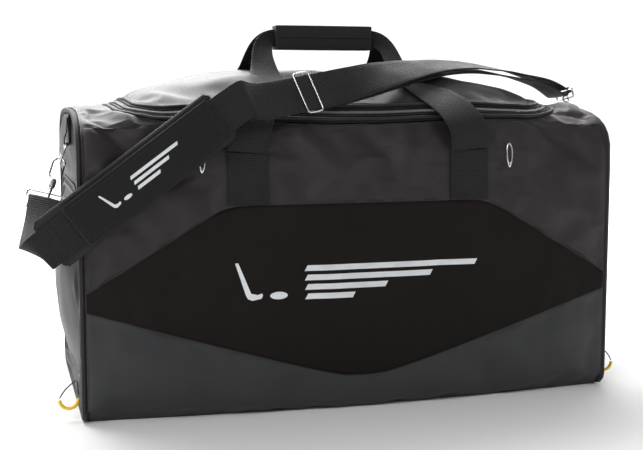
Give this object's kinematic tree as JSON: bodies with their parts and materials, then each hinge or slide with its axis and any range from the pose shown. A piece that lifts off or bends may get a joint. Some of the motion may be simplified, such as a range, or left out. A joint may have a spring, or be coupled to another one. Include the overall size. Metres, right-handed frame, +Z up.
{
  "type": "sports equipment duffel bag",
  "caption": "Soft duffel for sports gear with a U-zipped lid, joined carry handles, a padded shoulder strap on snap hooks and zipped end pockets.",
  "frame": {"origin": "centre of the flat underside, on the surface the bag stands on", "axes": "+X along the bag's length towards its right end, -Y towards the front with the shoulder strap, +Z up"},
  "size_m": [0.8917, 0.4447, 0.54],
  "materials": {
    "body_fabric": "woven polyester, coated inside, slight sheen",
    "insert_fabric": "dense matte woven nylon",
    "coated_base": "coated tarpaulin, smooth matte",
    "webbing": "ribbed polypropylene webbing",
    "padding": "padded woven fabric, bound edges",
    "pad_cover": "smooth pressed cover",
    "zip_tape": "woven zipper tape with moulded teeth",
    "nickel": "bright nickel plate",
    "dark_metal": "dark plated metal",
    "pull_cord": "braided cord",
    "pull_yellow": "moulded rubbery plastic"
  },
  "bodies": {
    "bag_body": {"base_board": "insert_fabric", "bottom_panel": "coated_base", "front_base_panel": "coated_base", "front_insert_panel": "insert_fabric", "front_left_eyelet": "nickel", "front_left_web_anchor": "webbing", "front_right_eyelet": "nickel", "front_right_web_anchor": "webbing", "front_upper_panel": "body_fabric", "left_d_ring_tab": "webbing", "left_end_panel": "body_fabric", "left_end_piping": "webbing", "left_pocket_liner": "insert_fabric", "left_pocket_zip_tape": "zip_tape", "left_shoulder_panel": "body_fabric", "lid_zip_tape_body": "zip_tape", "rear_base_panel": "coated_base", "rear_insert_panel": "insert_fabric", "rear_left_web_anchor": "webbing", "rear_right_web_anchor": "webbing", "rear_upper_panel": "body_fabric", "right_d_ring_tab": "webbing", "right_end_panel": "body_fabric", "right_end_piping": "webbing", "right_pocket_liner": "insert_fabric", "right_pocket_zip_tape": "zip_tape", "right_shoulder_panel": "body_fabric"},
    "lid": {"lid_panel": "body_fabric", "lid_zip_tape_lid": "zip_tape"},
    "front_handle": {"front_handle_web": "webbing"},
    "rear_handle": {"rear_handle_web": "webbing", "grip_sleeve": "padding"},
    "grip_flap": {"grip_flap": "padding"},
    "strap": {"strap_web": "webbing", "strap_web_return": "webbing", "left_strap_ring": "nickel", "right_strap_ring": "nickel"},
    "strap_pad": {"pad_base": "padding", "pad_overlay": "pad_cover"},
    "adjuster": {"adjuster_frame": "nickel", "adjuster_bar": "nickel"},
    "left_hook": {"left_snap_hook": "nickel"},
    "left_gate": {"left_snap_gate": "dark_metal"},
    "left_dee": {"left_d_ring": "nickel"},
    "lid_left_runner": {"lid_left_slider": "nickel"},
    "lid_left_tab": {"lid_left_pull": "nickel"},
    "left_door": {"left_pocket_door": "body_fabric"},
    "left_door_runner": {"left_pocket_slider": "nickel"},
    "left_door_pull": {"left_pull_cord": "pull_cord", "left_pull_grip": "pull_yellow"},
    "right_hook": {"right_snap_hook": "nickel"},
    "right_gate": {"right_snap_gate": "dark_metal"},
    "right_dee": {"right_d_ring": "nickel"},
    "lid_right_runner": {"lid_right_slider": "nickel"},
    "lid_right_tab": {"lid_right_pull": "nickel"},
    "right_door": {"right_pocket_door": "body_fabric"},
    "right_door_runner": {"right_pocket_slider": "nickel"},
    "right_door_pull": {"right_pull_cord": "pull_cord", "right_pull_grip": "pull_yellow"}
  },
  "joints": [
    {"name": "lid_hinge", "type": "hinge", "parent": "bag_body", "child": "lid", "pos_m": [0, 0.165, 0.4155], "axis": [-1, 0, 0], "range_deg": [0, 58.5]},
    {"name": "front_handle_swing", "type": "hinge", "parent": "bag_body", "child": "front_handle", "pos_m": [0, -0.2035, 0.3635], "axis": [1, 0, 0], "range_deg": [0, 175]},
    {"name": "rear_handle_swing", "type": "hinge", "parent": "bag_body", "child": "rear_handle", "pos_m": [0, 0.2035, 0.3635], "axis": [-1, 0, 0], "range_deg": [0, 175]},
    {"name": "strap_lift", "type": "slide", "parent": "bag_body", "child": "strap", "axis": [0, -0.5, 0.866], "range_m": [0, 0.81]},
    {"name": "lid_left_runner_slide", "type": "slide", "parent": "bag_body", "child": "lid_left_runner", "axis": [-1, 0, 0], "range_m": [0, 0.04]},
    {"name": "lid_right_runner_slide", "type": "slide", "parent": "bag_body", "child": "lid_right_runner", "axis": [1, 0, 0], "range_m": [0, 0.4]},
    {"name": "lid_left_tab_hinge", "type": "hinge", "parent": "lid_left_runner", "child": "lid_left_tab", "pos_m": [-0.2121, -0.1678, 0.4182], "axis": [-1, 0, 0], "range_deg": [0, 120]},
    {"name": "lid_right_tab_hinge", "type": "hinge", "parent": "lid_right_runner", "child": "lid_right_tab", "pos_m": [-0.194, -0.1679, 0.4185], "axis": [-1, 0, 0], "range_deg": [0, 120]},
    {"name": "grip_flap_hinge", "type": "hinge", "parent": "rear_handle", "child": "grip_flap", "pos_m": [0, 0.0135, 0.5342], "axis": [-1, 0, 0], "range_deg": [0, 150]},
    {"name": "pad_slide", "type": "slide", "parent": "strap", "child": "strap_pad", "axis": [0.805, 0, 0.5933], "range_m": [0, 0.012]},
    {"name": "adjuster_slide", "type": "slide", "parent": "strap", "child": "adjuster", "axis": [0.9163, 0.3665, 0.1614], "range_m": [-0.02, 0.02]},
    {"name": "left_hook_swivel", "type": "hinge", "parent": "strap", "child": "left_hook", "pos_m": [-0.4, -0.03, 0.338], "axis": [-0.2999, -0.5498, -0.7796], "range_deg": [-30, 30]},
    {"name": "right_hook_swivel", "type": "hinge", "parent": "strap", "child": "right_hook", "pos_m": [0.418, -0.03, 0.3795], "axis": [-0.2921, 0.139, 0.9462], "range_deg": [-30, 30]},
    {"name": "left_gate_hinge", "type": "hinge", "parent": "left_hook", "child": "left_gate", "pos_m": [-0.3983, -0.0433, 0.3192], "axis": [0, -0.8173, 0.5763], "range_deg": [0, 15], "stiffness_Nm_per_rad": 0.02},
    {"name": "right_gate_hinge", "type": "hinge", "parent": "right_hook", "child": "right_gate", "pos_m": [0.4198, -0.0266, 0.4023], "axis": [0, 0.9894, -0.1454], "range_deg": [0, 15], "stiffness_Nm_per_rad": 0.02},
    {"name": "left_dee_swing", "type": "hinge", "parent": "bag_body", "child": "left_dee", "pos_m": [-0.3885, -0.03, 0.368], "axis": [0, 1, 0], "range_deg": [-5, 5]},
    {"name": "right_dee_swing", "type": "hinge", "parent": "bag_body", "child": "right_dee", "pos_m": [0.3885, -0.03, 0.368], "axis": [0, 1, 0], "range_deg": [-5, 5]},
    {"name": "left_door_hinge", "type": "hinge", "parent": "bag_body", "child": "left_door", "pos_m": [-0.3847, 0, 0.0316], "axis": [0, -1, 0], "range_deg": [0, 61]},
    {"name": "right_door_hinge", "type": "hinge", "parent": "bag_body", "child": "right_door", "pos_m": [0.3847, 0, 0.0316], "axis": [0, 1, 0], "range_deg": [0, 75]},
    {"name": "left_door_runner_slide", "type": "slide", "parent": "bag_body", "child": "left_door_runner", "axis": [0, 0, 1], "range_m": [0, 0.181]},
    {"name": "right_door_runner_slide", "type": "slide", "parent": "bag_body", "child": "right_door_runner", "axis": [0, 0, 1], "range_m": [0, 0.181]},
    {"name": "left_door_pull_hinge", "type": "hinge", "parent": "left_door_runner", "child": "left_door_pull", "pos_m": [-0.3897, -0.165, 0.053], "axis": [0, 1, 0], "range_deg": [0, 60]},
    {"name": "right_door_pull_hinge", "type": "hinge", "parent": "right_door_runner", "child": "right_door_pull", "pos_m": [0.3897, -0.165, 0.053], "axis": [0, -1, 0], "range_deg": [0, 60]}
  ],
  "couplings": [
    {"joint": "lid_hinge", "follows": "strap_lift", "rad_per_m": 1.25},
    {"joint": "front_handle_swing", "follows": "strap_lift", "rad_per_m": 3.6875},
    {"joint": "rear_handle_swing", "follows": "strap_lift", "rad_per_m": 3.6875},
    {"joint": "lid_left_runner_slide", "follows": "strap_lift", "ratio": 0.0485},
    {"joint": "lid_right_runner_slide", "follows": "strap_lift", "ratio": 0.485},
    {"joint": "left_door_hinge", "follows": "strap_lift", "rad_per_m": 1.3},
    {"joint": "left_door_runner_slide", "follows": "strap_lift", "ratio": 0.22222},
    {"joint": "right_door_runner_slide", "follows": "right_door_hinge", "m_per_rad": 0.1375}
  ]
}
